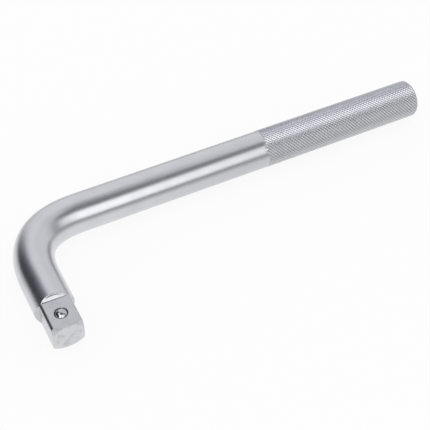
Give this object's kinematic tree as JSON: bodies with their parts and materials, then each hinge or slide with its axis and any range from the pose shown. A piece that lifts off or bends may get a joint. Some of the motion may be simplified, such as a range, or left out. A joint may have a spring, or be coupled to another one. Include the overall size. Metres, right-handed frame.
{
  "type": "l-handle socket wrench",
  "caption": "Round bar bent at a right angle, with a knurled grip on the long arm and a square drive with a sprung detent ball on the short arm.",
  "frame": {"origin": "centre of the square drive's end face", "axes": "+X along the long arm towards the grip's end, +Y from the drive's end face along the short arm, +Z square to both arms, out of the flat that holds the ball"},
  "size_m": [0.1982, 0.0654, 0.0168],
  "materials": {
    "satin_chrome": "satin chrome plate over a forged and ground bar",
    "polished_ball": "polished bearing steel",
    "spring_wire": "drawn spring wire"
  },
  "bodies": {
    "handle": {"handle_bar": "satin_chrome", "detent_spring": "spring_wire"},
    "ball": {"detent_ball": "polished_ball"}
  },
  "joints": [
    {"name": "ball_press", "type": "slide", "parent": "handle", "child": "ball", "axis": [0, 0, -1], "range_m": [0, 0.0012], "stiffness_N_per_m": 2200, "springref_m": -0.001, "deforming": ["detent_spring"]}
  ]
}
